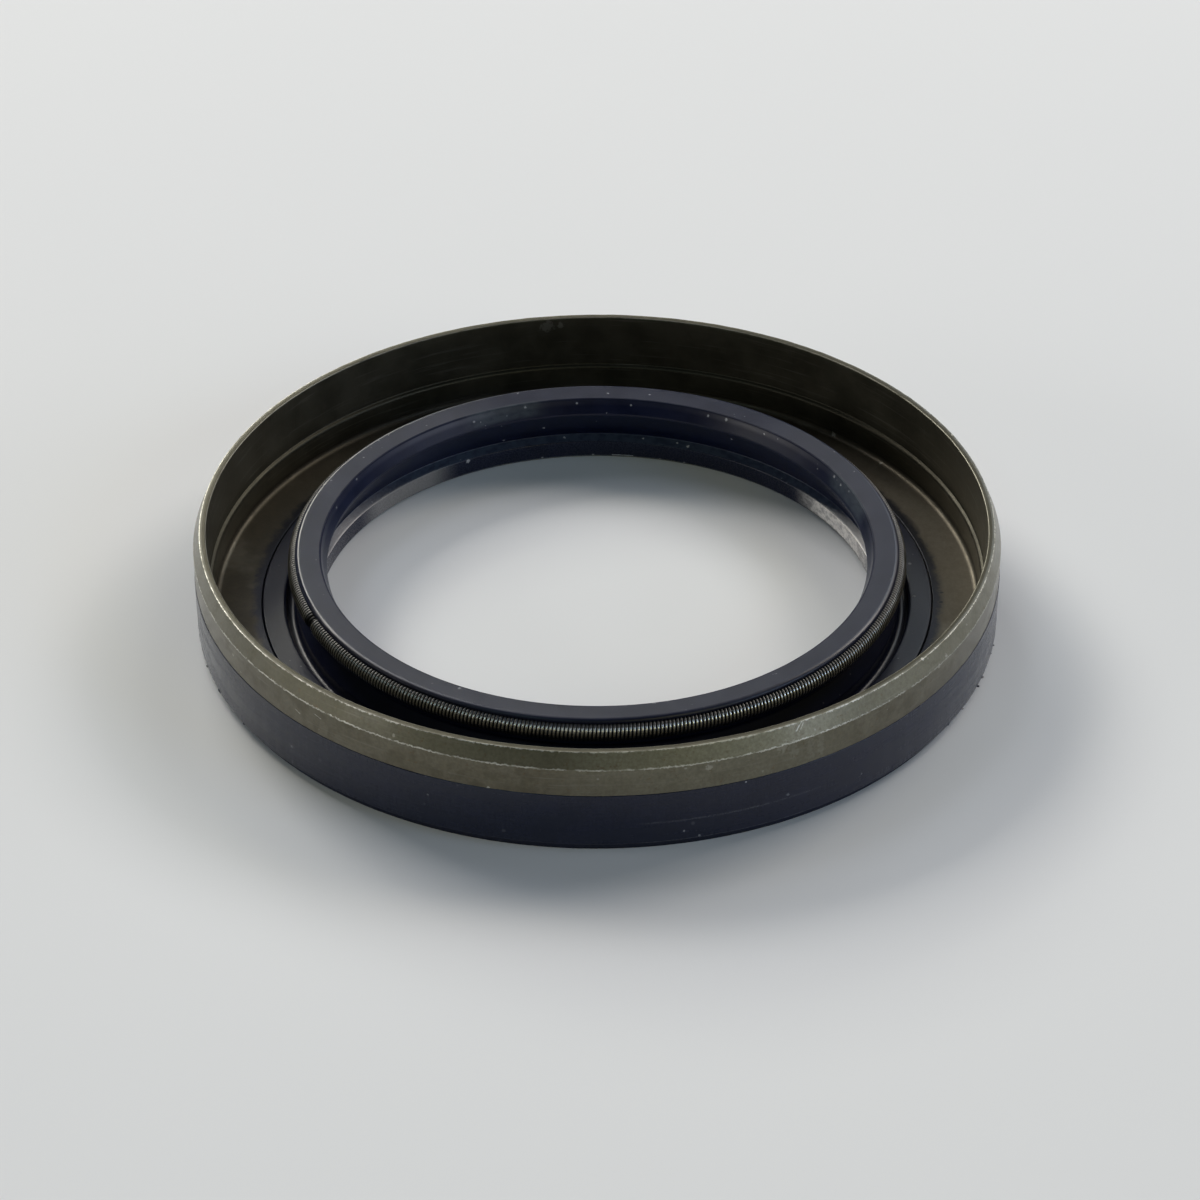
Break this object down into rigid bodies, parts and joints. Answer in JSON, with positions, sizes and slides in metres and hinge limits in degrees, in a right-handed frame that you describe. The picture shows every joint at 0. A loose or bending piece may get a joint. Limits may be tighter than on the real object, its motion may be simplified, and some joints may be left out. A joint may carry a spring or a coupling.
{
  "type": "radial shaft seal",
  "caption": "Radial shaft seal: a stepped pressed-steel case, rubber over its lower half, and one sealing lip held to the shaft by a garter spring.",
  "frame": {"origin": "centre of the flat air side, on the shaft's axis, where the seal lies on a surface", "axes": "+Z along the shaft's axis towards the oil side, where the garter spring shows; X and Y across the seal"},
  "size_m": [0.072, 0.072, 0.01],
  "materials": {
    "case_steel": "drawn steel with a thin olive-grey phosphate coat, satin and slightly mottled",
    "seal_rubber": "black nitrile rubber, moulded, satin with a smooth lip",
    "spring_wire": "bright drawn spring wire, close wound"
  },
  "bodies": {
    "root": {"steel_case": "case_steel", "rubber_lip_body": "seal_rubber", "garter_spring": "spring_wire"}
  },
  "joints": []
}
